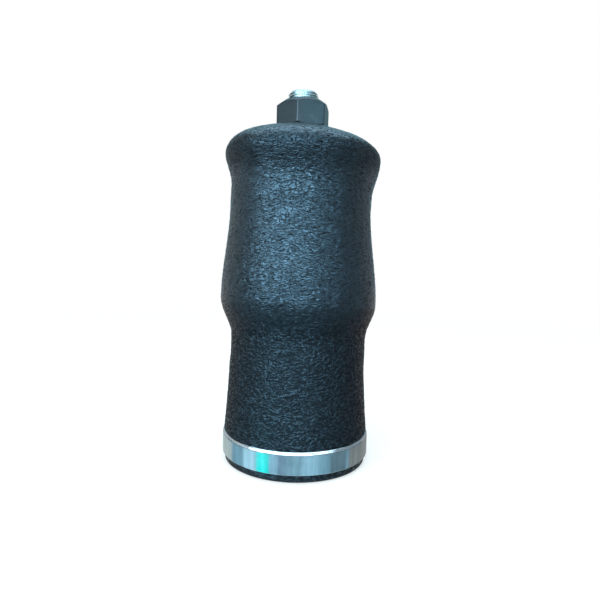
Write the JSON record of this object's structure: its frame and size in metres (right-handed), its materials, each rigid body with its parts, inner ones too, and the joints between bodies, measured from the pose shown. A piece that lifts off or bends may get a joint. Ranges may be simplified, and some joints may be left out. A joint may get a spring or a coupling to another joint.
{
  "type": "air suspension spring",
  "caption": "Slim sleeve air spring: grained rubber sleeve with a domed crown, threaded stud and nut on top, aluminium crimp ring at the foot, and a bump stop and push-in air port inside.",
  "frame": {"origin": "centre of the face that the foot stands on", "axes": "+Z along the stroke, from the foot to the stud; +X from the axis towards the air port"},
  "size_m": [0.063, 0.063, 0.1472],
  "materials": {
    "stud_zinc": "bright zinc plate",
    "nut_black": "black oxide, satin",
    "fastener_zinc": "zinc plate",
    "seal_rubber": "moulded, smooth",
    "plate_steel": "pressed sheet, zinc plate",
    "sleeve_rubber": "leather grain, satin",
    "ring_aluminium": "turned and crimped, satin",
    "plug_aluminium": "turned, satin",
    "insert_steel": "yellow zinc plate",
    "cone_plastic": "glass-filled nylon",
    "bump_rubber": "cellular, matt",
    "port_brass": "turned",
    "spacer_plastic": "acetal",
    "grip_steel": "spring steel, bright",
    "collet_plastic": "acetal"
  },
  "bodies": {
    "foot": {"sleeve": "sleeve_rubber", "crimp_ring": "ring_aluminium", "base_plug": "plug_aluminium", "mount_insert": "insert_steel", "guide_cone": "cone_plastic", "bump_cup": "plate_steel", "bump_stop": "bump_rubber", "flat_washer": "fastener_zinc", "spring_washer": "fastener_zinc", "center_screw": "fastener_zinc", "port_cartridge": "port_brass", "port_seal": "seal_rubber", "port_spacer": "spacer_plastic", "tube_seal": "seal_rubber", "grip_ring": "grip_steel"},
    "crown": {"top_stud": "stud_zinc", "top_nut": "nut_black", "clamp_collar": "fastener_zinc", "stud_seal": "seal_rubber", "crown_plate": "plate_steel"},
    "collet": {"release_collet": "collet_plastic"}
  },
  "joints": [
    {"name": "stroke", "type": "slide", "parent": "foot", "child": "crown", "axis": [0, 0, 1], "range_m": [-0.04, 0.004], "stiffness_N_per_m": 6000, "deforming": ["sleeve"]},
    {"name": "collet_push", "type": "slide", "parent": "foot", "child": "collet", "axis": [0, 0, 1], "range_m": [0, 0.001], "stiffness_N_per_m": 500}
  ]
}
